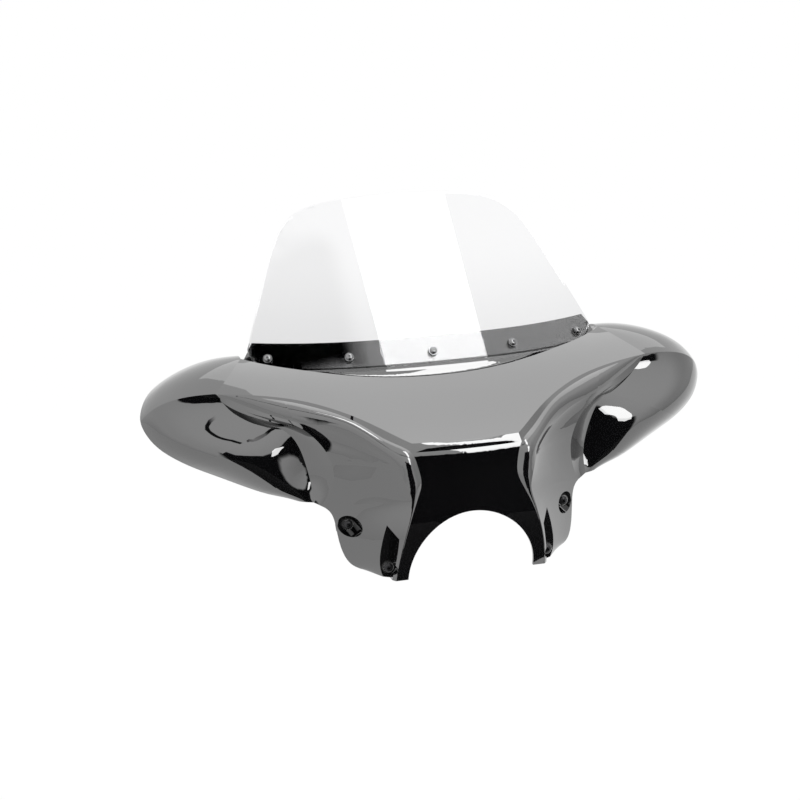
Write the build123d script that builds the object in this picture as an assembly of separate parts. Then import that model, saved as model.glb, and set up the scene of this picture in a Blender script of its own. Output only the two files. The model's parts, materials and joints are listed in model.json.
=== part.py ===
from build123d import *
import os
from math import comb, sqrt, cos, pi
import numpy as np
from scipy.interpolate import CubicSpline

# Batwing fairing for a motorcycle fork, in millimetres.
# Frame: +X is the viewer's right, the front faces -Y, +Z is up.
# The pieces are drawn from the front of the windshield at its centre screw, then moved so that
# the origin lies midway between the free ends of the two upper mounting bolts.

# Sheet thicknesses and gaps
SKIN = 4.0
SHIELD_THICKNESS = 4.5
SPACER_THICKNESS = 1.0
SEAT_GAP = 0.3
BORE_GAP = 0.3

# Windshield sheet: y = sweep(x) + RAKE * z
RAKE = 0.87
SWEEP_DEPTH = 49.0
SWEEP_HALF_WIDTH = 275.0
SWEEP_POWER = 2.72
SHIELD_SIDE = [(0, 206.3), (65, 204.5), (115, 200.5), (150, 193), (180, 177.5), (207, 146), (232, 98), (254, 53),
               (274.5, 9)]
SHIELD_CORNER = [(274.5, 9), (272.5, 0), (259, -9.5), (240, -13), (205, -14.5)]
SHIELD_LOW_Z = -40.0
SHIELD_HIGH_Z = 230.0
SHIELD_OVERRUN = 1.08

# Windshield screws
SCREW_PLACES = {"outer_left": -249.5, "mid_left": -130.7, "center": 0.0, "mid_right": 130.7, "outer_right": 249.5}
SCREW_SHANK_R = 2.5
SCREW_HOLE_R = 3.2
SCREW_HEAD_R = 5.6
SCREW_HEAD_H = 3.4
SCREW_SOCKET_R = 1.7
SCREW_SOCKET_DEPTH = 1.8
SCREW_END = -19.0
FRONT_WASHER_R = 7.0
FRONT_WASHER_T = 1.0
SPACER_R = 7.5
SHIELD_NUT_R = 5.5
SHIELD_NUT_T = 5.0

# Mounting bolts along Y, each in its own recess of the legs
UPPER_BOLT_X = 170.0
UPPER_BOLT_Z = -220.5
UPPER_SEAT_Y = -111.0
LOWER_BOLT_X = 124.5
LOWER_BOLT_Z = -274.0
LOWER_SEAT_Y = -165.0
BOLT_R = 4.0
BOLT_HOLE_R = 6.6
BOLT_HEAD_R = 6.8
BOLT_HEAD_H = 4.4
BOLT_SOCKET_R = 2.6
BOLT_SOCKET_DEPTH = 2.6
BOLT_WASHER_R = 8.4
BOLT_WASHER_T = 1.4
BOLT_NUT_R = 6.5
BOLT_NUT_T = 4.5
BOLT_REACH = 30.0
BOLT_END_R = 3.9
BOLT_SHOULDER = 1.0
BRACKET_Y = -90.0
GROMMET_NECK_R = 6.3
GROMMET_RIM_R = 9.4
GROMMET_RIM_T = 2.0
POCKET_R = 15.5
SPOT_R = 9.7
SPOT_WALL = 3.0
CHANNEL_INNER_X = 112.5
CHANNEL_FOOT_X = 122.5
CHANNEL_FOOT_Z = -300.0
CHANNEL_INNER_WALL = 3.0
CHANNEL_APEX_X = 131.0
CHANNEL_OUTER_X = 140.0
CHANNEL_SHOULDER_Z = -226.0
CHANNEL_APEX_Z = -202.0
RECESS_DEPTH = 70.0
CUT_FRONT_Y = -215.0
CUT_BACK_Y = -60.0

# Headlight arch
ARCH_R = 97.65
ARCH_Z = -289.4
ARCH_FOOT_Z = -340.0

# Rails of the skin on the +X side. The keys are stations shared by the rails.
CORNER_XY = (343.0, -14.0)
HOOD_FRONT = {"D": CORNER_XY, "d": (294, -31), "C": (250, -46), "c2": (206, -64), "c3": (150, -97),
              "c4": (111, -129), "B": (83, -154)}
FOLD = {"D": CORNER_XY, "d2": (317, 11), "d3": (302, 30), "E": (288, 50)}
COVE_FRONT = {0: -26, 85: -22, 140: -13, 205: 6, 250: 24.5, 288: 50}
COVE_FRONT_X = {"A": 0.0, "B": 105.0, "C": 206.0, "E": 288.0}
BROW_Y = -155.5
HOOD_HEIGHTS = [(0, -26, -29.5), (85, -22, -27), (140, -13, -21.5), (205, 7, -15.5), (250, 28, -8), (288, 50, 2),
                (343, -14, -33), (316, 11, -15), (302, 30, -6), (292, -31, -30.5), (250, -46, -35),
                (206, -64, -43), (150, -97, -63), (112, -128, -82), (83, -154, -91), (42, -155.5, -91.5),
                (0, -155.5, -91.5)]
STEP_FOOT = {
    "d": (293, -34, -35), "C": (251, -49.5, -40), "c2": (208, -68, -48.5),
    "c3": (152, -101, -67.5), "c4": (113, -134.5, -90), "B": (86, -160, -103),
    "b2": (77, -168, -127), "b3": (75, -175, -147), "T": (83, -182, -168),
    "t2": (97, -191, -200), "t3": (109, -191.5, -243), "G": (115, -182, -292),
}
BAND_FOOT = {
    "d": (288, -44, -53), "C": (240, -73, -66), "c2": (198, -91, -75),
    "c3": (157, -112, -94), "c4": (124, -143, -113), "B": (108, -164, -126),
    "b2": (100, -175, -143), "b3": (95, -181, -156), "T": (93, -185, -170),
    "t2": (101, -190, -200), "t3": (113, -188.5, -243), "G": (119, -179, -292),
}
CHEEK_EDGE = {
    "d": (286, -49, -60), "C": (237, -78, -72), "c2": (213, -86, -90),
    "c3": (198, -93, -109), "B": (189, -98, -131), "b2": (187, -102, -150),
    "b3": (191, -102, -172), "T": (202, -97, -196),
}
LOBE_CREASE = {
    "d": (305, -25, -59), "C": (266, -51, -76), "c2": (243, -65, -90),
    "c3": (229, -71, -114), "B": (221, -73, -140), "b2": (217, -78, -160), "T": (216, -91, -189),
}
WING_RIM = {
    "T": (238, -80, -188), "t2": (264, -74, -180), "B": (290, -66, -173), "b2": (346, -46, -151),
    "C": (389, -31, -133), "c2": (426, -9, -112), "c3": (443, 9, -93), "D": (449, 23, -75),
    "d2": (443, 38, -57), "d3": (422, 62, -39), "d4": (379, 95, -27), "d5": (339, 109, -21), "E": (287, 88, -7),
}
LEG_RIM = {
    "T": (202, -97, -196), "t2": (190, -106, -211), "t3": (186, -113, -236),
    "t4": (179, -125, -265), "t5": (169, -134, -278), "G": (152, -142, -285),
}
FLANGE_FOOT = {0: -24, 85: -22.5, 140: -20, 205: -18.5, 250: -17, 281: -3}
FLANGE_TOP_Z = 17.0
FLANGE_TOP_X = {"A": 0.0, "B": 100.0, "C": 198.0, "E": 266.0}
FLANGE_FOOT_X = {"A": 0.0, "B": 102.0, "C": 202.0, "E": 281.0}
BROW_FOOT_Y = -163.0
BROW_FOOT_Z = -104.0

# How far each panel swells at its middle
COVE_DEPTH = 4.5
BROW_SWELL = (0, -2.5, 2)
FACE_CROWN = -2.0
LOBE_SWELL = {"T": (0, -2, 0), "B": (0, -15, 1), "C": (3, -25, 4), "c2": (7, -22, 7), "D": (9, -9, 15)}
TOP_SWELL = {"D": (9, -9, 15), "d3": (6, -1, 15), "d4": (3, -1, 14), "E": (0, 0, 3)}
RIM_FULLNESS = {"T": 1.0, "C": 1.25, "D": 0.5, "E": -0.3}

# The way the sheet draws off its mould, and how finely each panel is sampled
DRAW = (0, -0.766, 0.643)
LONG = 8
SHORT = 4
BLEND_RADIUS = 8.0


def sweep(x):
    """Plan curve of the windshield sheet."""
    return SWEEP_DEPTH * (abs(x) / SWEEP_HALF_WIDTH) ** SWEEP_POWER


def sweep_slope(x):
    """Slope of the plan curve."""
    slope = SWEEP_DEPTH * SWEEP_POWER / SWEEP_HALF_WIDTH * (abs(x) / SWEEP_HALF_WIDTH) ** (SWEEP_POWER - 1)
    return slope if x >= 0 else -slope


FLANGE_OFFSET = (SHIELD_THICKNESS + SPACER_THICKNESS + 2 * SEAT_GAP) * sqrt(1 + RAKE * RAKE)


def nodes(degree):
    """Parameters from 0 to 1, closer together at both ends."""
    return [(1 - cos(pi * i / degree)) / 2 for i in range(degree + 1)]


def basis(degree):
    """Bernstein basis at the nodes."""
    return np.array([[comb(degree, k) * t ** k * (1 - t) ** (degree - k) for k in range(degree + 1)]
                     for t in nodes(degree)])


def slope_matrix(degree):
    """Matrix that turns points at the nodes into slopes at the nodes."""
    lower = np.array([[comb(degree - 1, k) * t ** k * (1 - t) ** (degree - 1 - k) for k in range(degree)]
                      for t in nodes(degree)])
    steps = degree * (np.eye(degree, degree + 1, 1) - np.eye(degree, degree + 1))
    return lower @ steps @ np.linalg.inv(basis(degree))


def hood_terms(x, y):
    """Smooth terms, even in x, that make up the height of the hood."""
    u = (x / 300) ** 2
    v = y / 150
    return [1, v, v * v, v ** 3, u, u * v, u * v * v, u * u, u * u * v]


HOOD_FIT = np.linalg.lstsq(np.array([hood_terms(x, y) for x, y, z in HOOD_HEIGHTS], float),
                           np.array([z for x, y, z in HOOD_HEIGHTS], float), rcond=0.003)[0]


def on_hood(x, y):
    """Point of the hood above a place in plan."""
    return np.array([x, y, float(np.dot(hood_terms(x, y), HOOD_FIT))])


def even_curve(table):
    """Smooth even function of x through the values given for x >= 0."""
    xs = list(table)
    values = list(table.values())
    return CubicSpline([-x for x in reversed(xs[1:])] + xs, values[:0:-1] + values)


class Rail:
    """Guide curve of the skin through named stations."""

    def __init__(self, table, corner=None):
        table = table if corner is None else {"D": corner, **table}
        points = np.array(list(table.values()), float)
        steps = np.sqrt(np.linalg.norm(np.diff(points, axis=0), axis=1))
        params = np.concatenate([[0], np.cumsum(steps)])
        self.params = dict(zip(table, params))
        self.curve = CubicSpline(params, points)

    def param(self, start, end, t):
        """Rail parameter at the fraction t between two stations."""
        return self.params[start] + (self.params[end] - self.params[start]) * t

    def at(self, start, end, t):
        """Point at the fraction t between two stations."""
        return self.curve(self.param(start, end, t))

    def spread(self, table):
        """Smooth change of a value from station to station of this rail."""
        return CubicSpline([self.params[name] for name in table], np.array(list(table.values()), float))


class HoodLine(Rail):
    """Rail drawn in plan that lies on the hood."""

    def at(self, start, end, t):
        """Point at the fraction t between two stations."""
        return on_hood(*self.curve(self.param(start, end, t)))


def grid(function, along, across):
    """Points of a panel at its nodes."""
    return np.array([[function(u, v) for v in nodes(across)] for u in nodes(along)])


def panel_face(points):
    """One Bezier face through a grid of points."""
    along = np.linalg.inv(basis(len(points) - 1))
    across = np.linalg.inv(basis(len(points[0]) - 1))
    control = np.einsum("ij,jkc,lk->ilc", along, points, across)
    return Face.make_bezier_surface([[Vector(*p) for p in row] for row in control])


def normals(points):
    """Unit normals of a panel at its nodes, on the side of the draw direction."""
    du = np.einsum("ij,jkc->ikc", slope_matrix(len(points) - 1), points)
    dv = np.einsum("kl,ilc->ikc", slope_matrix(len(points[0]) - 1), points)
    cross = np.cross(du, dv)
    if (cross @ np.array(DRAW)).sum() < 0:
        cross = -cross
    size = np.linalg.norm(cross, axis=2, keepdims=True)
    return np.where(size > 1e-3, cross / np.maximum(size, 1e-3), 0)


def key(point):
    """Rounded position, the same for every panel that shares the node."""
    return tuple(np.round(point, 3) + 0.0)


def borders(points):
    """The four border lines of a panel."""
    return [points[0, :], points[-1, :], points[:, 0], points[:, -1]]


def inner_skin(panels, depth):
    """The panels moved inward by the sheet thickness, still sharing their edges.

    Each node follows the normals found near it, so that narrow steps of the front leave no folds behind.
    A node midway along a straight edge moves with the ends of the edge.
    """
    places = np.concatenate([points.reshape(-1, 3) for points in panels])
    facing = np.concatenate([normals(points).reshape(-1, 3) for points in panels])
    sound = (facing ** 2).sum(axis=1) > 0.5
    places, facing = places[sound], facing[sound]
    shift = {}
    for point in places:
        weight = np.exp(-((places - point) ** 2).sum(axis=1) / (2 * BLEND_RADIUS ** 2))
        near = weight > 1e-3
        root = np.sqrt(weight[near])
        shift[key(point)] = np.linalg.lstsq(facing[near] * root[:, None], -depth * root, rcond=0.4)[0]
    for points in panels:
        for first, middle, last in [line for line in borders(points) if len(line) == 3]:
            if np.allclose(middle, (first + last) / 2):
                shift[key(middle)] = (shift[key(first)] + shift[key(last)]) / 2
    return [np.array([[p + shift[key(p)] for p in row] for row in points]) for points in panels]


def free_edges(panels, inner):
    """Ruled grids that close the sheet along every edge used by one panel only."""
    count, pairs = {}, {}
    for points, below in zip(panels, inner):
        for line, under in zip(borders(points), borders(below)):
            ends = tuple(sorted([key(line[0]), key(line[-1])]))
            if ends[0] != ends[1]:
                count[ends] = count.get(ends, 0) + 1
                pairs[ends] = np.stack([line, under], axis=1)
    return [pairs[ends] for ends in count if count[ends] == 1]


def strip(first, second, start, end, swell, swell_end, across=SHORT):
    """Panel between two rails, swelling in the middle."""
    swell = np.array(swell, float)
    swell_end = np.array(swell_end, float)

    def point(u, v):
        a = first.at(start, end, u)
        b = second.at(start, end, u)
        return a + (b - a) * v + (swell + (swell_end - swell) * u) * 4 * v * (1 - v)

    return grid(point, LONG, across)


def wing_panel(inner, rim, start, end, swell):
    """Panel of the wing from its inner line out to the trimmed rim."""
    swelling = rim.spread(swell)
    fullness = rim.spread(RIM_FULLNESS)

    def point(u, v):
        a = inner.at(start, end, u)
        b = rim.at(start, end, u)
        place = rim.param(start, end, u)
        return a + (b - a) * v + swelling(place) * 4 * v * (1 - v) * (1 + fullness(place) * (v - 0.5))

    return grid(point, LONG, LONG - 2)


def column(table, start, end, u):
    """X in a row of the front, from one station to the next or across the middle."""
    if start == "A":
        return table[end] * (2 * u - 1)
    return table[start] + (table[end] - table[start]) * u


def flange_surface(x, z):
    """Point on the front of the flange that carries the windshield."""
    return np.array([x, sweep(x) + FLANGE_OFFSET + RAKE * z, z])


def front_panels(start, end, front, fold=None):
    """Flange, cove and hood panels of one column.

    front gives the hood's front line, and fold the hood's outer edge where the column ends there.
    """
    foot_z = even_curve(FLANGE_FOOT)
    cove_y = even_curve(COVE_FRONT)

    def flange_point(u, v):
        top_x = column(FLANGE_TOP_X, start, end, u)
        low_x = column(FLANGE_FOOT_X, start, end, u)
        low_z = float(foot_z(low_x))
        return flange_surface(top_x + (low_x - top_x) * v, FLANGE_TOP_Z + (low_z - FLANGE_TOP_Z) * v)

    def cove_front(u):
        x = column(COVE_FRONT_X, start, end, u)
        return on_hood(x, float(cove_y(x)))

    def cove_point(u, v):
        a = flange_point(u, 1)
        b = cove_front(u)
        depth = COVE_DEPTH * (1 - (b[0] / COVE_FRONT_X["E"]) ** 2)
        return a + (b - a) * v - np.array([0, -0.2, 1]) * depth * 4 * v * (1 - v)

    def hood_point(u, v):
        place = cove_front(u) * (1 - v) + front(u) * v
        if fold:
            straight = cove_front(1) * (1 - v) + front(1) * v
            place = place + (fold.at("E", "D", v) - straight) * u * u
        return on_hood(*place[:2])

    return [grid(flange_point, LONG, 2), grid(cove_point, LONG, SHORT), grid(hood_point, LONG, LONG)]


def middle_panels(hood, step):
    """Panels that cross the middle: flange, cove, hood, brow and face."""
    corner = hood.at("B", "B", 0)
    foot = step.at("B", "B", 0)

    def brow(u):
        s = 2 * u - 1
        return on_hood(corner[0] * s, BROW_Y + (corner[1] - BROW_Y) * s * s)

    def brow_foot(u):
        s = 2 * u - 1
        y = BROW_FOOT_Y + (foot[1] - BROW_FOOT_Y) * s * s
        return np.array([foot[0] * s, y, BROW_FOOT_Z + (foot[2] - BROW_FOOT_Z) * s * s])

    def brow_point(u, v):
        return brow(u) + (brow_foot(u) - brow(u)) * v + np.array(BROW_SWELL) * 16 * v * (1 - v) * u * (1 - u)

    def face(start, end, crown_start, crown_end, drop):
        def point(u, v):
            s = 2 * u - 1
            side = step.at(start, end, v)
            crown = crown_start + (crown_end - crown_start) * v
            return side * [s, 1, 1] + np.array([0, crown, drop * (1 - v)]) * (1 - s * s)
        return grid(point, LONG, LONG)

    upper = face("B", "T", BROW_FOOT_Y - foot[1], FACE_CROWN, BROW_FOOT_Z - foot[2])
    lower = face("T", "G", FACE_CROWN, 0.0, 0.0)
    return front_panels("A", "B", brow) + [grid(brow_point, LONG, 2), upper, lower]


def side_panels(hood, step):
    """Panels of the +X side."""
    corner = hood.at("D", "D", 0)
    band, cheek, crease = Rail(BAND_FOOT, corner), Rail(CHEEK_EDGE, corner), Rail(LOBE_CREASE, corner)
    rim, fold, leg = Rail(WING_RIM), HoodLine(FOLD), Rail(LEG_RIM)
    none = (0, 0, 0)
    near = front_panels("B", "C", lambda u: hood.at("B", "C", u))
    far = front_panels("C", "E", lambda u: hood.at("C", "D", u), fold)
    return near + far + [
        strip(hood, step, "D", "C", none, none, across=1),
        strip(hood, step, "C", "B", none, none, across=1),
        strip(step, band, "D", "C", none, (0, -4, 4)),
        strip(step, band, "C", "B", (0, -4, 4), (0, -7, 3)),
        strip(step, band, "B", "T", (0, -7, 3), (0, -1.5, 0)),
        strip(step, band, "T", "G", (0, -1.5, 0), (0, -1, 0)),
        strip(band, cheek, "D", "C", none, none, across=LONG - 2),
        strip(band, cheek, "C", "B", none, (-2, 6, 0), across=LONG - 2),
        strip(band, cheek, "B", "T", (-2, 6, 0), (-2, 4, 0), across=LONG - 2),
        strip(band, leg, "T", "G", (-2, 4, 0), none, across=LONG - 2),
        strip(cheek, crease, "D", "C", none, (0, 2, 0)),
        strip(cheek, crease, "C", "B", (0, 2, 0), (0, 3, 0)),
        strip(cheek, crease, "B", "T", (0, 3, 0), none),
        wing_panel(crease, rim, "T", "B", LOBE_SWELL),
        wing_panel(crease, rim, "B", "C", LOBE_SWELL),
        wing_panel(crease, rim, "C", "D", LOBE_SWELL),
        wing_panel(fold, rim, "D", "E", TOP_SWELL),
    ]


def skin_grids():
    """Outer panels of the whole skin."""
    hood = HoodLine(HOOD_FRONT)
    step = Rail(STEP_FOOT, hood.at("D", "D", 0))
    side = side_panels(hood, step)
    return middle_panels(hood, step) + side + [points * np.array([-1, 1, 1]) for points in side]


def formed_sheet():
    """The moulded sheet before trimming, as one closed solid."""
    outer = skin_grids()
    inner = inner_skin(outer, SKIN)
    return Solid(Shell([panel_face(points) for points in outer + inner + free_edges(outer, inner)]))


def leg_core():
    """Thick zone behind the face of the +X leg, for the walls of the recesses."""
    hood = HoodLine(HOOD_FRONT)
    corner = hood.at("D", "D", 0)
    step, band = Rail(STEP_FOOT, corner), Rail(BAND_FOOT, corner)
    inset = np.array([0, SKIN / 2, 0])
    edge = inset + strip(step, band, "T", "G", (0, -1.5, 0), (0, -1, 0))
    leg = inset + strip(band, Rail(LEG_RIM), "T", "G", (-2, 4, 0), (0, 0, 0), across=LONG - 2)
    return extrude(panel_face(edge), amount=RECESS_DEPTH, dir=(0, 1, 0)) + extrude(
        panel_face(leg), amount=RECESS_DEPTH, dir=(0, 1, 0))


def along_y(sketch, front, back):
    """Sketch drawn in X and Z, extruded from the plane y = front to y = back."""
    plane = Plane(origin=(0, back, 0), x_dir=(1, 0, 0), z_dir=(0, -1, 0))
    return extrude(plane * sketch, amount=back - front)


def round_cut(x, z, radius, back=CUT_BACK_Y):
    """Round cutter along Y, open to the front."""
    return along_y(Pos(x, z) * Circle(radius), CUT_FRONT_Y, back)


def channel(inner_wall, wall, back):
    """Pointed recess of the lower mounting bolt, open to the front and below."""
    outline = Polyline([
        (CHANNEL_FOOT_X - inner_wall, CHANNEL_FOOT_Z), (CHANNEL_INNER_X - inner_wall, CHANNEL_SHOULDER_Z),
        (CHANNEL_APEX_X - wall, CHANNEL_APEX_Z + wall), (CHANNEL_OUTER_X + wall, CHANNEL_APEX_Z + wall),
        (CHANNEL_OUTER_X + wall, CHANNEL_FOOT_Z)], close=True)
    return along_y(make_face(outline), CUT_FRONT_Y, back)


def recess_walls():
    """Floors and side walls of the bolt recesses in the +X leg."""
    upper = round_cut(UPPER_BOLT_X, UPPER_BOLT_Z, POCKET_R + SKIN, UPPER_SEAT_Y + SKIN)
    spot = round_cut(LOWER_BOLT_X, LOWER_BOLT_Z, SPOT_R + SPOT_WALL, LOWER_SEAT_Y + SKIN)
    return leg_core() & (upper + channel(CHANNEL_INNER_WALL, SKIN, LOWER_SEAT_Y + SKIN) + spot)


def recess_cutters():
    """Space and bolt holes of the recesses in the +X leg, one cutter after the other."""
    lower = channel(0, 0, LOWER_SEAT_Y) + round_cut(LOWER_BOLT_X, LOWER_BOLT_Z, SPOT_R, LOWER_SEAT_Y)
    upper = round_cut(UPPER_BOLT_X, UPPER_BOLT_Z, POCKET_R, UPPER_SEAT_Y)
    lower_hole = round_cut(LOWER_BOLT_X, LOWER_BOLT_Z, BOLT_HOLE_R)
    upper_hole = round_cut(UPPER_BOLT_X, UPPER_BOLT_Z, BOLT_HOLE_R)
    return [lower, lower_hole, upper, upper_hole]


def cut_away(body, cutters):
    """Body less each cutter in turn."""
    for cutter in cutters:
        body = body - cutter
    return body


def arch_cut():
    """Headlight arch: a half circle open below."""
    below = ARCH_Z - ARCH_FOOT_Z
    cut = round_cut(0, ARCH_Z, ARCH_R)
    return cut + along_y(Pos(0, ARCH_Z - below / 2) * Rectangle(2 * ARCH_R, below), CUT_FRONT_Y, CUT_BACK_Y)


def sheet_frame(x):
    """Frame on the windshield's front at one screw, its Z axis pointing out of the sheet."""
    normal = Vector(sweep_slope(x), -1, RAKE).normalized()
    return Plane(origin=(x, sweep(x), 0), x_dir=(0, RAKE, 1), z_dir=normal)


def drilled_at(x, radius):
    """Cutter for one windshield screw hole."""
    return sheet_frame(x) * Cylinder(radius, 60)


def fairing_shell():
    """Moulded shell with its arch, recesses and holes."""
    cutters = recess_cutters()
    walls = cut_away(recess_walls(), cutters)
    body = cut_away(formed_sheet(), cutters + [mirror(cutter, about=Plane.YZ) for cutter in cutters])
    body = body + walls + mirror(walls, about=Plane.YZ)
    return cut_away(body, [arch_cut()] + [drilled_at(x, SCREW_HOLE_R) for x in SCREW_PLACES.values()])


def windshield():
    """Raked clear sheet, trimmed to its outline and drilled."""
    places = [SWEEP_HALF_WIDTH * SHIELD_OVERRUN * i / LONG for i in range(-LONG, LONG + 1)]
    front = [(x, sweep(x), 0) for x in places]
    back = []
    for x in places:
        slope = sweep_slope(x)
        size = sqrt(1 + RAKE * RAKE + slope * slope)
        shift = SHIELD_THICKNESS * (1 + RAKE * RAKE) / size
        back.append((x - SHIELD_THICKNESS * slope / size, sweep(x) + shift, 0))
    rims = [Spline(*front), Spline(*back), Line(front[0], back[0]), Line(front[-1], back[-1])]
    section = make_face(rims)
    low = Pos(0, RAKE * SHIELD_LOW_Z, SHIELD_LOW_Z) * section
    length = (SHIELD_HIGH_Z - SHIELD_LOW_Z) * sqrt(1 + RAKE * RAKE)
    sheet = extrude(low, amount=length, dir=(0, RAKE, 1))
    side = Spline(*SHIELD_SIDE, tangents=[(1, 0), (0.42, -1)], tangent_scalars=[1, 1])
    corner = Spline(*SHIELD_CORNER)
    bottom = Line(SHIELD_CORNER[-1], (0, SHIELD_CORNER[-1][1]))
    half = Curve() + [side, corner, bottom]
    outline = make_face(half.edges() + mirror(half, about=Plane.YZ).edges())
    sheet = sheet & along_y(outline, RAKE * SHIELD_LOW_Z - SWEEP_DEPTH, RAKE * SHIELD_HIGH_Z + SWEEP_DEPTH)
    for x in SCREW_PLACES.values():
        sheet -= drilled_at(x, SCREW_HOLE_R)
    return sheet


def ring(outer, inner, start, end):
    """Washer between two heights on the axis."""
    return Pos(0, 0, start) * extrude(Circle(outer) - Circle(inner), amount=end - start)


def hex_nut(radius, bore, start, end):
    """Hexagon nut between two heights on the axis."""
    return Pos(0, 0, start) * extrude(RegularPolygon(radius, 6) - Circle(bore), amount=end - start)


def domed_screw(head_r, head_h, shank_r, socket_r, socket_depth, seat, tip):
    """Domed socket screw whose head sits at the height seat and whose shank ends at tip."""
    rise = head_h * 0.35
    dome = ThreePointArc((head_r, seat + rise), (head_r * 0.72, seat + head_h * 0.84), (0, seat + head_h))
    profile = Polyline([(0, seat + head_h), (0, tip), (shank_r - 0.6, tip), (shank_r, tip + 0.6), (shank_r, seat),
                        (head_r, seat), (head_r, seat + rise)])
    screw = revolve(Plane.XZ * make_face([*dome.edges(), *profile.edges()]), axis=Axis.Z)
    socket = Pos(0, 0, seat + head_h - socket_depth) * extrude(RegularPolygon(socket_r, 6), amount=head_h)
    return screw - socket


def shield_fasteners():
    """Screw, washer, spacer and nut of every windshield hole."""
    washer_top = SEAT_GAP + FRONT_WASHER_T
    spacer_top = -SHIELD_THICKNESS - SEAT_GAP / 2
    parts = {}
    for name, x in SCREW_PLACES.items():
        frame = sheet_frame(x)
        stretch = sqrt(1 + RAKE * RAKE) / sqrt(1 + RAKE * RAKE + sweep_slope(x) ** 2)
        flange_back = -(FLANGE_OFFSET * stretch / sqrt(1 + RAKE * RAKE) + SKIN)
        nut_top = flange_back - SEAT_GAP
        parts["shield_screw_" + name] = frame * domed_screw(
            SCREW_HEAD_R, SCREW_HEAD_H, SCREW_SHANK_R, SCREW_SOCKET_R, SCREW_SOCKET_DEPTH, washer_top, SCREW_END)
        parts["shield_washer_" + name] = frame * ring(FRONT_WASHER_R, SCREW_SHANK_R + BORE_GAP, SEAT_GAP, washer_top)
        parts["shield_spacer_" + name] = frame * ring(
            SPACER_R, SCREW_SHANK_R + BORE_GAP, spacer_top - SPACER_THICKNESS, spacer_top)
        parts["shield_nut_" + name] = frame * hex_nut(
            SHIELD_NUT_R, SCREW_SHANK_R + BORE_GAP, nut_top - SHIELD_NUT_T, nut_top)
    return parts


def grommet():
    """Rubber grommet that holds a mounting bolt in the skin, on the axis with the seat at zero."""
    bore = BOLT_R + BORE_GAP
    front = ring(GROMMET_RIM_R, bore, SEAT_GAP, SEAT_GAP + GROMMET_RIM_T)
    neck = ring(GROMMET_NECK_R, bore, -SKIN - SEAT_GAP, SEAT_GAP)
    back = ring(GROMMET_RIM_R, bore, -SKIN - SEAT_GAP - GROMMET_RIM_T, -SKIN - SEAT_GAP)
    return front + neck + back


def mount_fasteners():
    """Bolt, washer, grommet and nut of every mounting point."""
    washer_seat = SEAT_GAP + GROMMET_RIM_T
    head_seat = washer_seat + BOLT_WASHER_T
    nut_top = -SKIN - SEAT_GAP - GROMMET_RIM_T
    screw = domed_screw(BOLT_HEAD_R, BOLT_HEAD_H, BOLT_R, BOLT_SOCKET_R, BOLT_SOCKET_DEPTH, head_seat, -BOLT_REACH)
    relief = ring(BOLT_HEAD_R, BOLT_END_R, -BOLT_REACH - SKIN, nut_top - BOLT_NUT_T - BOLT_SHOULDER)
    parts = {}
    places = {"upper": (UPPER_BOLT_X, UPPER_SEAT_Y, UPPER_BOLT_Z), "lower": (LOWER_BOLT_X, LOWER_SEAT_Y, LOWER_BOLT_Z)}
    for level, (x, y, z) in places.items():
        for side, sign in {"left": -1, "right": 1}.items():
            frame = Plane(origin=(sign * x, y, z), x_dir=(1, 0, 0), z_dir=(0, -1, 0))
            name = level + "_" + side
            parts["mount_bolt_" + name] = frame * (screw - relief)
            parts["mount_washer_" + name] = frame * ring(BOLT_WASHER_R, BOLT_R + BORE_GAP, washer_seat, head_seat)
            parts["mount_grommet_" + name] = frame * grommet()
            parts["mount_nut_" + name] = frame * hex_nut(BOLT_NUT_R, BOLT_R + BORE_GAP, nut_top - BOLT_NUT_T, nut_top)
    return parts


def main():
    """Build every piece and write it."""
    os.makedirs("parts", exist_ok=True)
    parts = {"fairing_shell": fairing_shell(), "windshield": windshield()}
    parts.update(shield_fasteners())
    parts.update(mount_fasteners())
    for name, drawn in parts.items():
        part = Pos(0, -BRACKET_Y, -UPPER_BOLT_Z) * drawn
        export_step(part, os.path.join("parts", name + ".step"))
        print(name, round(part.volume), len(part.solids()), part.is_valid)


if __name__ == "__main__":
    main()
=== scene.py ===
"""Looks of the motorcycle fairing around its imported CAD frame.

Everything is in metres in the CAD frame: +X is the viewer's right, the front faces -Y and +Z is up.
The origin lies midway between the free ends of the two upper mounting bolts.
"""

import json
import logging
from dataclasses import dataclass, field
from enum import Enum
from math import cos, pi, radians, sin

import bpy
import numpy as np
from mathutils import Matrix, Vector


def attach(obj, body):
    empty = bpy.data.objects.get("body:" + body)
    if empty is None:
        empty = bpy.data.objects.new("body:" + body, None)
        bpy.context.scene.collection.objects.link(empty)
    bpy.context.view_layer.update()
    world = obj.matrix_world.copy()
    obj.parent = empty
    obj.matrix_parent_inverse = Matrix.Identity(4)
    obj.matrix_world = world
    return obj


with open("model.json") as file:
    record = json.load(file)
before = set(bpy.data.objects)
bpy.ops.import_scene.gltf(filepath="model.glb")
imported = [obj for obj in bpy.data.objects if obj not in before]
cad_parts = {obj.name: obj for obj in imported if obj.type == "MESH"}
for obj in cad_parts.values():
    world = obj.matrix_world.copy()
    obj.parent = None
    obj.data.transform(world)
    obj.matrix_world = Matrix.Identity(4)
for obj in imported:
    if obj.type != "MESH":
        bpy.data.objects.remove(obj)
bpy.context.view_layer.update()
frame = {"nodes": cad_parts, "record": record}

log = logging.getLogger("fairing")

Triple = tuple[float, float, float]
Colour = tuple[float, float, float, float]
Input = float | Triple | Colour | bpy.types.NodeSocket
Pair = tuple[float, float]

UP: Triple = (0.0, 0.0, 1.0)

# The shell leaves its mould this way, and only the side that faces it is polished
DRAW: Triple = (0.0, -0.766, 0.643)
INNER_SPAN: Pair = (-0.35, -0.2)

# Values between which a noise turns a finish from its first to its last roughness
NOISE_SPAN: Pair = (0.3, 0.7)

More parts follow.
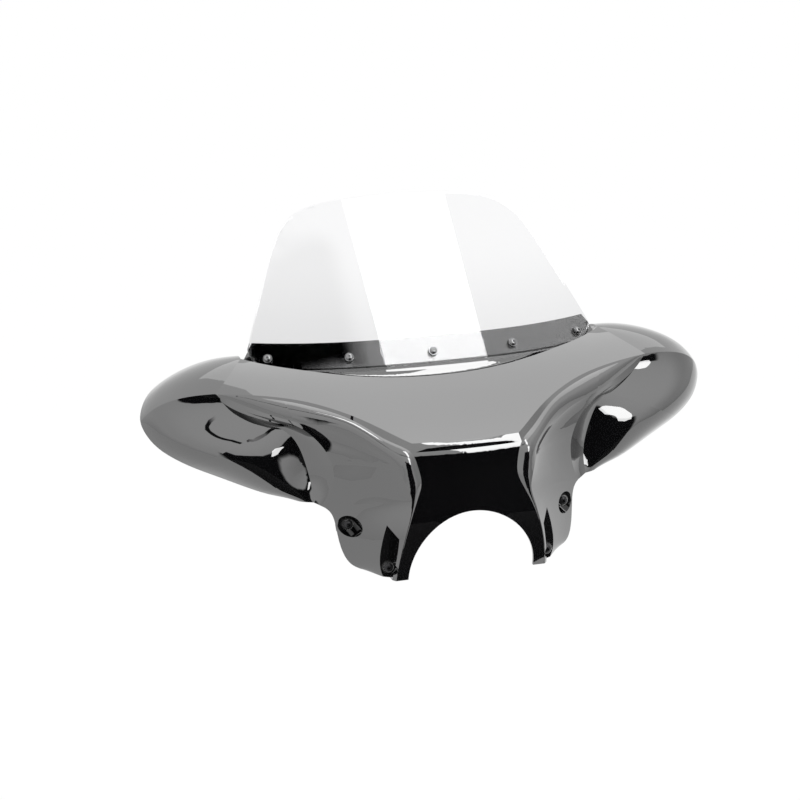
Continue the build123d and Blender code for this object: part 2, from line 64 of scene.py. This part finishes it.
# Distances in metres at which points count as one, and as part of a bolt's flat end
SAME_POINT = 1e-7
END_DEPTH = 1e-5

# Least length of a direction's level part, so that nothing is divided by zero straight above
LEAST_FLAT = 0.001


class Place(Enum):
    """Where a mounting bolt sits, as its node names say."""

    UPPER_LEFT = "upper_left"
    UPPER_RIGHT = "upper_right"
    LOWER_LEFT = "lower_left"
    LOWER_RIGHT = "lower_right"


class Hole(Enum):
    """Which windshield hole a screw sits in, as its node names say."""

    OUTER_LEFT = "outer_left"
    MID_LEFT = "mid_left"
    CENTER = "center"
    MID_RIGHT = "mid_right"
    OUTER_RIGHT = "outer_right"


class Graph:
    """Short way to build a node tree."""

    def __init__(self, tree: bpy.types.NodeTree) -> None:
        """Start from an empty tree.

        Args:
            tree: The tree of a material or of the world.
        """
        self.tree = tree
        tree.nodes.clear()

    def node(self, kind: str, settings: dict[str, str | float | bool] | None = None,
             inputs: dict[str | int, Input] | None = None) -> bpy.types.Node:
        """Add a node and fill its inputs.

        Args:
            kind: Blender's type name of the node.
            settings: Attributes of the node.
            inputs: Constant values or output sockets, by input name or number.

        Returns:
            The new node.
        """
        made = self.tree.nodes.new(kind)
        for name, value in (settings or {}).items():
            setattr(made, name, value)
        for name, value in (inputs or {}).items():
            if isinstance(value, bpy.types.NodeSocket):
                self.tree.links.new(value, made.inputs[name])
            else:
                made.inputs[name].default_value = value
        return made

    def math(self, operation: str, *values: float | bpy.types.NodeSocket) -> bpy.types.NodeSocket:
        """Add a math node.

        Args:
            operation: Blender's name of the operation.
            values: Up to three numbers or sockets.

        Returns:
            The socket of the result.
        """
        return self.node("ShaderNodeMath", {"operation": operation}, dict(enumerate(values))).outputs[0]

    def dot(self, vector: bpy.types.NodeSocket, axis: Triple) -> bpy.types.NodeSocket:
        """Add a dot product with a fixed axis.

        Args:
            vector: Socket of the vector.
            axis: The fixed axis.

        Returns:
            The socket of the product.
        """
        product = self.node("ShaderNodeVectorMath", {"operation": "DOT_PRODUCT"}, {0: vector, 1: axis})
        return product.outputs["Value"]

    def ease(self, value: bpy.types.NodeSocket, start: float, end: float, low: float = 0.0,
             high: float = 1.0) -> bpy.types.NodeSocket:
        """Add a smooth step.

        Args:
            value: Socket of the value.
            start: Value at which the step begins.
            end: Value at which it ends.
            low: Result before the step.
            high: Result after it.

        Returns:
            The socket of the result.
        """
        step = self.node("ShaderNodeMapRange", {"interpolation_type": "SMOOTHSTEP"},
                         {0: value, 1: start, 2: end, 3: low, 4: high})
        return step.outputs[0]

    def band(self, value: bpy.types.NodeSocket, low: float, high: float,
             softness: float) -> bpy.types.NodeSocket:
        """Add a mask of the values between two limits.

        Args:
            value: Socket of the value.
            low: Lower limit.
            high: Upper limit.
            softness: How far the mask fades on both sides of each limit.

        Returns:
            The socket of the mask, 1 between the limits.
        """
        above = self.ease(value, low - softness, low + softness)
        below = self.ease(value, high - softness, high + softness, 1.0, 0.0)
        return self.math("MULTIPLY", above, below)

    def noise(self, scale: float) -> bpy.types.NodeSocket:
        """Add a noise in object coordinates.

        Args:
            scale: Waves per metre.

        Returns:
            The socket of the noise, from 0 to 1.
        """
        place = self.node("ShaderNodeTexCoord").outputs["Object"]
        return self.node("ShaderNodeTexNoise", {}, {"Vector": place, "Scale": scale}).outputs[0]

    def bump(self, height: bpy.types.NodeSocket, distance: float) -> bpy.types.NodeSocket:
        """Add a bump.

        Args:
            height: Socket of the height.
            distance: Height of the bump in metres.

        Returns:
            The socket of the normal.
        """
        return self.node("ShaderNodeBump", {}, {"Height": height, "Distance": distance}).outputs[0]

    def shade(self, dark: Colour, light: Colour, amount: bpy.types.NodeSocket) -> bpy.types.NodeSocket:
        """Add a mix of two colours.

        Args:
            dark: Colour where the amount is 0.
            light: Colour where it is 1.
            amount: Socket of the amount.

        Returns:
            The socket of the colour.
        """
        mix = self.node("ShaderNodeMix", {"data_type": "RGBA"})
        self.tree.links.new(amount, mix.inputs[0])
        mix.inputs[6].default_value = dark
        mix.inputs[7].default_value = light
        return mix.outputs[2]

    def finish(self, shader: bpy.types.NodeSocket, output: str = "ShaderNodeOutputMaterial") -> None:
        """Connect the shader to the output.

        Args:
            shader: Socket of the finished shader.
            output: Blender's type name of the output node.
        """
        self.node(output, {}, {"Surface": shader})


@dataclass(frozen=True)
class Finish:
    """Surface of a piece, with a slight unevenness in its colour and gloss.

    With painted shade heights, the colour changes between two heights instead, darker below and lighter
    above; this is painted shade and light, standing in for how light falls on the piece. With an inner
    roughness, the side that faces away from the mould's draw is rougher and has no coat.
    """

    name: str
    dark: Colour
    light: Colour
    metallic: float = 0.0
    roughness: Pair = (0.3, 0.4)
    grain: float = 40.0
    relief: float = 0.0
    coat: float = 0.0
    specular: float = 0.5
    transmission: float = 0.0
    ior: float = 1.5
    painted_shade_heights: Pair | None = None
    inner_roughness: float | None = None

    def material(self) -> bpy.types.Material:
        """Find the material, or make it the first time.

        Returns:
            The material of this finish.
        """
        return bpy.data.materials.get(self.name) or self.build()

    def build(self) -> bpy.types.Material:
        """Make the material.

        Returns:
            The new material.
        """
        material = bpy.data.materials.new(self.name)
        material.use_nodes = True
        graph = Graph(material.node_tree)
        noise = graph.noise(self.grain)
        amount = noise
        # Painted shade: between the given heights the colour goes from dark below to light above, standing
        # in for how light falls.
        if self.painted_shade_heights:
            place = graph.node("ShaderNodeTexCoord").outputs["Object"]
            amount = graph.ease(graph.dot(place, UP), *self.painted_shade_heights)
        roughness = graph.ease(noise, *NOISE_SPAN, *self.roughness)
        inside = self.inside(graph) if self.inner_roughness else None
        if inside:
            dull = graph.math("MULTIPLY", inside, self.inner_roughness)
            roughness = graph.math("MAXIMUM", roughness, dull)
        surface = graph.node("ShaderNodeBsdfPrincipled", {}, {
            "Base Color": graph.shade(self.dark, self.light, amount),
            "Roughness": roughness,
            "Metallic": self.metallic,
            "Coat Weight": self.coat,
            "Coat Roughness": self.roughness[0],
            "Specular IOR Level": self.specular,
            "Transmission Weight": self.transmission,
            "IOR": self.ior,
        })
        if inside:
            coat = graph.math("SUBTRACT", self.coat, inside)
            graph.tree.links.new(coat, surface.inputs["Coat Weight"])
        if self.relief:
            normal = graph.bump(noise, self.relief)
            graph.tree.links.new(normal, surface.inputs["Normal"])
        graph.finish(surface.outputs[0])
        return material

    def inside(self, graph: Graph) -> bpy.types.NodeSocket:
        """Mask of the unpolished inner side.

        Args:
            graph: Graph of the material.

        Returns:
            The socket of the mask, 1 on the inner side.
        """
        facing = graph.dot(graph.node("ShaderNodeTexCoord").outputs["Normal"], DRAW)
        return graph.ease(facing, *INNER_SPAN, 1.0, 0.0)


LACQUER = Finish("gloss_black_lacquer", (0.002, 0.002, 0.0022, 1), (0.005, 0.005, 0.0055, 1),
                 roughness=(0.015, 0.03), grain=6.0, coat=1.0, ior=2.1, inner_roughness=0.42)
# The windshield's colour is darker towards its bottom and lighter towards its top: painted shade and light,
# standing in for how light falls on the sheet.
ACRYLIC = Finish("clear_acrylic_sheet", (0.8, 0.8, 0.805, 1), (0.92, 0.92, 0.925, 1),
                 roughness=(0.0, 0.01), grain=3.0, transmission=1.0, ior=1.49, painted_shade_heights=(0.2, 0.36))
POLISHED_STEEL = Finish("polished_screw_steel", (0.16, 0.16, 0.165, 1), (0.3, 0.3, 0.3, 1), metallic=1.0,
                        roughness=(0.12, 0.25), grain=220.0)
ZINC = Finish("zinc_plated_steel", (0.42, 0.43, 0.43, 1), (0.62, 0.62, 0.61, 1), metallic=1.0,
              roughness=(0.3, 0.45), grain=160.0)
BLACK_STEEL = Finish("black_oxide_steel", (0.012, 0.012, 0.013, 1), (0.04, 0.04, 0.042, 1), metallic=0.6,
                     roughness=(0.3, 0.45), grain=180.0)
RUBBER = Finish("moulded_rubber", (0.008, 0.008, 0.008, 1), (0.02, 0.02, 0.02, 1),
                roughness=(0.6, 0.75), grain=300.0, relief=0.00005)
NUT_PLASTIC = Finish("black_nut_plastic", (0.01, 0.01, 0.01, 1), (0.025, 0.025, 0.025, 1),
                     roughness=(0.35, 0.5), grain=200.0)
MAT_FELT = Finish("mat_felt", (0.004, 0.004, 0.004, 1), (0.008, 0.008, 0.008, 1),
                  roughness=(0.9, 1.0), specular=0.1)

SLOT_FINISHES: dict[str, Finish] = {
    "gloss_black_shell": LACQUER,
    "clear_acrylic": ACRYLIC,
    "polished_steel": POLISHED_STEEL,
    "zinc_steel": ZINC,
    "black_steel": BLACK_STEEL,
    "black_rubber": RUBBER,
    "black_plastic": NUT_PLASTIC,
}


def dress_frame() -> int:
    """Give every CAD node the finish of its slot.

    Returns:
        How many nodes were dressed.
    """
    made = {slot: finish.material() for slot, finish in SLOT_FINISHES.items()}
    slots = {part["node"]: part["material_slot"] for part in frame["record"]["subparts"]}
    for name, node in frame["nodes"].items():
        for slot in node.material_slots:
            slot.material = made[slots[name]]
    return len(frame["nodes"])


def direction(azimuth: float, elevation: float) -> Vector:
    """Direction from the object.

    Args:
        azimuth: Degrees from the front towards the viewer's right.
        elevation: Degrees above the horizon.

    Returns:
        A unit vector.
    """
    a, e = radians(azimuth), radians(elevation)
    return Vector((sin(a) * cos(e), -cos(a) * cos(e), sin(e)))


def sector(graph: Graph, ray: bpy.types.NodeSocket, azimuth: float, half_width: float,
           softness: float) -> bpy.types.NodeSocket:
    """Mask of the directions near an azimuth.

    Args:
        graph: Graph of the world.
        ray: Socket of the direction that is looked up.
        azimuth: Middle of the sector in degrees.
        half_width: Half its width in degrees.
        softness: Softness of its sides, as a change of cosine.

    Returns:
        The socket of the mask, 1 in the sector.
    """
    height = graph.dot(ray, UP)
    flat = graph.math("SQRT", graph.math("SUBTRACT", 1.0, graph.math("MULTIPLY", height, height)))
    ahead = graph.dot(ray, tuple(direction(azimuth, 0)))
    turn = graph.math("DIVIDE", ahead, graph.math("MAXIMUM", flat, LEAST_FLAT))
    edge = cos(radians(half_width))
    return graph.ease(turn, edge - softness, edge + softness)


@dataclass(frozen=True)
class Thread:
    """Rolled thread on the free end of a bolt or screw.

    The sunk depth and the half height of its ridge are shares of the pitch.
    """

    node: str
    radius: float
    pitch: float
    length: float
    finish: Finish
    slot: str
    steps: int = 32
    clear_of_tip: float = 0.0008
    sunk_share: float = 0.3
    ridge_share: float = 0.45

    def axis(self) -> tuple[Vector, Vector]:
        """Find the bolt's tip and the direction from its head to its tip.

        Returns:
            The tip's middle and a unit vector.
        """
        points = np.array([vertex.co for vertex in frame["nodes"][self.node].data.vertices])
        middle = points.mean(axis=0)
        along = np.linalg.svd(points - middle, full_matrices=False)[2][0]
        reach = (points - middle) @ along
        wide = np.linalg.norm(np.cross(points - middle, along), axis=1)
        if wide[reach > reach.mean()].max() > wide[reach < reach.mean()].max():
            along, reach = -along, -reach
        end = points[reach > reach.max() - END_DEPTH].mean(axis=0)
        return Vector(end), Vector(along)

    def build(self) -> bpy.types.Object:
        """Model the thread as a swept ridge and set it on the bolt.

        Returns:
            The finished piece.
        """
        bpy.ops.object.select_all(action="DESELECT")
        middle = self.radius - self.sunk_share * self.pitch
        bpy.ops.mesh.primitive_circle_add(vertices=3, radius=self.ridge_share * self.pitch,
                                          location=(middle, 0, 0), rotation=(pi / 2, pi / 2, 0))
        piece = bpy.context.object
        piece.name = self.node + "_thread"
        bpy.ops.object.transform_apply()
        screw = piece.modifiers.new("sweep", "SCREW")
        screw.axis = "Z"
        screw.iterations = int((self.length - self.clear_of_tip) / self.pitch)
        screw.screw_offset = self.pitch
        screw.steps = screw.render_steps = self.steps
        bpy.ops.object.modifier_apply(modifier=screw.name)
        bpy.ops.object.mode_set(mode="EDIT")
        bpy.ops.mesh.select_all(action="SELECT")
        bpy.ops.mesh.remove_doubles(threshold=SAME_POINT)
        bpy.ops.mesh.fill_holes(sides=0)
        bpy.ops.mesh.normals_make_consistent(inside=False)
        bpy.ops.object.mode_set(mode="OBJECT")
        tip, along = self.axis()
        turn = (-along).to_track_quat("Z", "Y").to_matrix().to_4x4()
        piece.matrix_world = Matrix.Translation(tip - along * self.clear_of_tip) @ turn
        bpy.ops.object.transform_apply()
        piece.data.materials.append(self.finish.material())
        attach(piece, "root")
        return piece


@dataclass
class Threads:
    """Threads of every mounting bolt and windshield screw."""

    bolt_radius: float = 0.0039
    bolt_pitch: float = 0.00125
    bolt_length: float = 0.018
    screw_radius: float = 0.0025
    screw_pitch: float = 0.0008
    screw_length: float = 0.003

    def build(self) -> list[bpy.types.Object]:
        """Model all the threads.

        Returns:
            The finished pieces.
        """
        made = [Thread("mount_bolt_" + place.value, self.bolt_radius, self.bolt_pitch, self.bolt_length,
                       BLACK_STEEL, "black_steel") for place in Place]
        made += [Thread("shield_screw_" + hole.value, self.screw_radius, self.screw_pitch, self.screw_length,
                        POLISHED_STEEL, "polished_steel") for hole in Hole]
        return [thread.build() for thread in made]


@dataclass(frozen=True)
class Softbox:
    """Rectangular studio lamp that faces the object, with its angles in degrees."""

    name: str
    azimuth: float
    elevation: float
    distance: float
    width: float
    height: float
    radiance: float
    roll: float = 0.0

    def build(self) -> None:
        """Add the lamp."""
        data = bpy.data.lights.new(self.name, "AREA")
        data.shape = "RECTANGLE"
        data.size = self.width
        data.size_y = self.height
        data.energy = self.radiance * self.width * self.height * pi
        lamp = bpy.data.objects.new(self.name, data)
        towards = direction(self.azimuth, self.elevation)
        turn = towards.to_track_quat("Z", "Y").to_matrix().to_4x4()
        roll = Matrix.Rotation(radians(self.roll), 4, "Z")
        lamp.matrix_world = Matrix.Translation(towards * self.distance) @ turn @ roll
        bpy.context.collection.objects.link(lamp)


@dataclass(frozen=True)
class Opening:
    """Dark opening of the white tent between two elevations, in degrees.

    The softness of its edges is a change of sine, and that of its sides a change of cosine.
    """

    azimuth: float
    half_width: float
    low: float
    high: float
    softness: float
    side_softness: float

    def mask(self, graph: Graph, ray: bpy.types.NodeSocket) -> bpy.types.NodeSocket:
        """Mask of the opening.

        Args:
            graph: Graph of the world.
            ray: Socket of the direction that is looked up.

        Returns:
            The socket of the mask, 1 inside the opening.
        """
        wide = sector(graph, ray, self.azimuth, self.half_width, self.side_softness)
        high = graph.band(graph.dot(ray, UP), sin(radians(self.low)), sin(radians(self.high)), self.softness)
        return graph.math("MULTIPLY", wide, high)


@dataclass(frozen=True)
class Flag:
    """Dark cloth along an arch over the front of the tent, in degrees.

    It reaches a little below and above the arch, whose top has the elevation given, and ends at the
    sides of a sector. Its softness is as an opening's.
    """

    elevation: float
    below: float
    above: float
    softness: float
    azimuth: float
    half_width: float
    side_softness: float

    def mask(self, graph: Graph, ray: bpy.types.NodeSocket) -> bpy.types.NodeSocket:
        """Mask of the cloth.

        Args:
            graph: Graph of the world.
            ray: Socket of the direction that is looked up.

        Returns:
            The socket of the mask, 1 on the cloth.
        """
        wide = sector(graph, ray, self.azimuth, self.half_width, self.side_softness)
        off = graph.dot(ray, tuple(direction(180, 90 - self.elevation)))
        high = graph.band(off, -sin(radians(self.below)), sin(radians(self.above)), self.softness)
        return graph.math("MULTIPLY", wide, high)


@dataclass
class Studio:
    """Pale floor, soft light and the camera of the photograph."""

    softboxes: list[Softbox] = field(default_factory=lambda: [
        Softbox("softbox_back", azimuth=141, elevation=61, distance=2.6, width=1.9, height=1.6,
                radiance=0.64),
        Softbox("softbox_front", azimuth=34, elevation=54, distance=2.4, width=0.62, height=3.2,
                radiance=4.6, roll=-15),
    ])
    floor_level: float = -1.2
    floor_size: float = 44.0
    floor_shift: float = 8.0
    floor_white: float = 0.92
    side_light: float = 1.15
    top_light: float = 1.3
    low_light: float = 0.8
    horizon_span: Pair = (-12.0, 12.0)
    top_span: Pair = (15.0, 60.0)
    gap: Opening = Opening(azimuth=3, half_width=28, low=-90, high=24, softness=0.02, side_softness=0.02)
    flag: Flag = Flag(elevation=64.5, below=0.65, above=2.5, softness=0.006, azimuth=-20, half_width=36,
                      side_softness=0.08)
    dim_place: Pair = (80.0, -15.0)
    dim_span: Pair = (0.5, 0.95)
    dim_share: float = 0.3
    mat_start: float = 0.3
    mat_radius: float = 18.0
    mat_lift: float = 0.002
    mat_corners: int = 60
    camera_place: Triple = (-1.1188, -3.3317, 1.2707)
    camera_target: Triple = (0.0, 0.09, 0.2205)
    focal_pixels: float = 2467.96
    centre_pixels: Pair = (433.107, 350.913)
    frame_pixels: float = 800.0

    def build(self) -> None:
        """Add everything that isn't part of the object."""
        self.world()
        self.floor()
        self.mat()
        for softbox in self.softboxes:
            softbox.build()
        self.camera()
        bpy.context.scene.view_settings.view_transform = "Standard"

    def seen(self, graph: Graph) -> bpy.types.NodeSocket:
        """Whether the floor is seen straight, in gloss or through the windshield.

        Args:
            graph: Graph of the floor's material.

        Returns:
            The socket of the answer, 0 or 1.
        """
        path = graph.node("ShaderNodeLightPath").outputs
        seen = graph.math("MAXIMUM", path["Is Camera Ray"], path["Is Transmission Ray"])
        return graph.math("MAXIMUM", seen, path["Is Glossy Ray"])

    def world(self) -> None:
        """Soft light all round that grows a little from the floor up.

        A dark opening and a dark cloth in front show in gloss. What is seen straight or through the
        windshield, without a mirror on the way, is plain white.
        """
        world = bpy.data.worlds.new("studio_tent")
        bpy.context.scene.world = world
        world.use_nodes = True
        graph = Graph(world.node_tree)
        ray = graph.node("ShaderNodeTexCoord").outputs["Generated"]
        height = graph.dot(ray, UP)
        low, side, top = self.low_light, self.side_light, self.top_light
        below = graph.ease(height, *(sin(radians(edge)) for edge in self.horizon_span), low, side)
        above = graph.ease(height, *(sin(radians(edge)) for edge in self.top_span), 0.0, top - side)
        dark = graph.math("MAXIMUM", self.gap.mask(graph, ray), self.flag.mask(graph, ray))
        towards = graph.dot(ray, tuple(direction(*self.dim_place)))
        dim = graph.ease(towards, *self.dim_span, 1.0, 1.0 - self.dim_share)
        level = graph.math("MULTIPLY", graph.math("ADD", below, above), graph.math("SUBTRACT", 1.0, dark))
        level = graph.math("MULTIPLY", level, dim)
        light = graph.node("ShaderNodeBackground", {}, {"Color": (1, 1, 1, 1), "Strength": level})
        white = graph.node("ShaderNodeBackground", {}, {"Color": (1, 1, 1, 1), "Strength": 1.0})
        path = graph.node("ShaderNodeLightPath").outputs
        straight = graph.math("LESS_THAN", path["Glossy Depth"], 0.5)
        through = graph.math("MULTIPLY", path["Is Transmission Ray"], straight)
        seen = graph.math("MAXIMUM", path["Is Camera Ray"], through)
        mix = graph.node("ShaderNodeMixShader", {}, {0: seen, 1: light.outputs[0], 2: white.outputs[0]})
        graph.finish(mix.outputs[0], "ShaderNodeOutputWorld")

    def mat(self) -> None:
        """Black mat on the floor below the gap that only gloss shows, so it stays out of every picture."""
        bpy.ops.object.select_all(action="DESELECT")
        bpy.ops.mesh.primitive_circle_add(vertices=self.mat_corners, radius=self.mat_radius,
                                          fill_type="TRIFAN",
                                          location=(0, 0, self.floor_level + self.mat_lift))
        mat = bpy.context.object
        mat.name = "studio_mat"
        bpy.ops.object.transform_apply(location=True, rotation=False, scale=False)
        bpy.ops.object.mode_set(mode="EDIT")
        for side in (-1, 1):
            bpy.ops.mesh.select_all(action="SELECT")
            across = direction(self.gap.azimuth + side * self.gap.half_width + side * 90, 0)
            bpy.ops.mesh.bisect(plane_co=(0, 0, self.floor_level), plane_no=across, clear_outer=True)
        bpy.ops.mesh.select_all(action="SELECT")
        start = direction(self.gap.azimuth, 0)
        near = start * self.mat_start
        bpy.ops.mesh.bisect(plane_co=(near.x, near.y, self.floor_level), plane_no=start, clear_inner=True)
        bpy.ops.object.mode_set(mode="OBJECT")
        mat.data.materials.append(MAT_FELT.material())
        mat.visible_camera = mat.visible_transmission = mat.visible_diffuse = False

    def floor(self) -> None:
        """Pale floor below the object that keeps its shadow."""
        bpy.ops.object.select_all(action="DESELECT")
        bpy.ops.mesh.primitive_plane_add(size=1, location=(0, self.floor_shift, self.floor_level))
        floor = bpy.context.object
        floor.name = "studio_floor"
        floor.scale = (self.floor_size, self.floor_size, 1)
        bpy.ops.object.transform_apply(location=True, rotation=False, scale=True)
        material = bpy.data.materials.new("pale_floor")
        material.use_nodes = True
        graph = Graph(material.node_tree)
        paper = graph.shade((0.84, 0.84, 0.84, 1), (0.87, 0.87, 0.87, 1), graph.noise(2.0))
        lit = graph.node("ShaderNodeBsdfDiffuse", {}, {"Color": paper})
        white = graph.node("ShaderNodeEmission", {}, {"Color": (1, 1, 1, 1), "Strength": 1.0})
        amount = graph.math("MULTIPLY", self.seen(graph), self.floor_white)
        mix = graph.node("ShaderNodeMixShader", {}, {0: amount, 1: lit.outputs[0], 2: white.outputs[0]})
        graph.finish(mix.outputs[0])
        floor.data.materials.append(material)

    def camera(self) -> None:
        """Camera of the photograph, whose frame is square."""
        data = bpy.data.cameras.new("photo_camera")
        data.sensor_width = 36
        data.lens = data.sensor_width * self.focal_pixels / self.frame_pixels
        half = self.frame_pixels / 2
        data.shift_x = (half - self.centre_pixels[0]) / self.frame_pixels
        data.shift_y = (self.centre_pixels[1] - half) / self.frame_pixels
        camera = bpy.data.objects.new("photo_camera", data)
        place, target = Vector(self.camera_place), Vector(self.camera_target)
        camera.location = place
        camera.rotation_euler = (place - target).to_track_quat("Z", "Y").to_euler()
        bpy.context.collection.objects.link(camera)
        bpy.context.scene.camera = camera


def main() -> None:
    """Build the looks and report each piece."""
    logging.basicConfig(level=logging.INFO, format="%(message)s")
    log.info("dressed %d CAD nodes", dress_frame())
    for piece in Threads().build():
        log.info("%s: %d faces", piece.name, len(piece.data.polygons))
    Studio().build()


if __name__ == "__main__":
    main()
